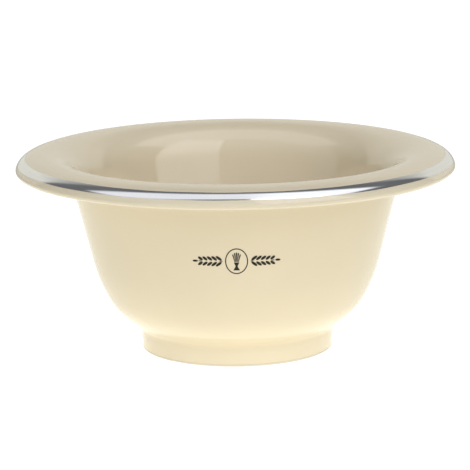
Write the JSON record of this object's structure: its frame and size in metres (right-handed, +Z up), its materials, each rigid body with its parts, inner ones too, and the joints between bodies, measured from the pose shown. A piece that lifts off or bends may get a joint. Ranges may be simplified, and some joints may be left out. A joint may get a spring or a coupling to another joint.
{
  "type": "shaving bowl",
  "caption": "Round glazed porcelain bowl with a flared, rolled lip, a metal lustre band and a foot ring, for working up shaving lather.",
  "frame": {"origin": "centre of the foot ring's flat bearing face, on the surface that the bowl stands on", "axes": "+Z up along the bowl's axis; -Y towards the printed mark; +X to the right as the mark is read"},
  "size_m": [0.14, 0.14, 0.0636],
  "materials": {
    "bare_porcelain": "matte",
    "ivory_glaze": "gloss",
    "metal_lustre": "polished",
    "mark_ink": "gloss"
  },
  "bodies": {
    "root": {"porcelain_body": "bare_porcelain", "glaze_coat": "ivory_glaze", "base_glaze": "ivory_glaze", "rim_band": "metal_lustre", "printed_mark": "mark_ink"}
  },
  "joints": []
}
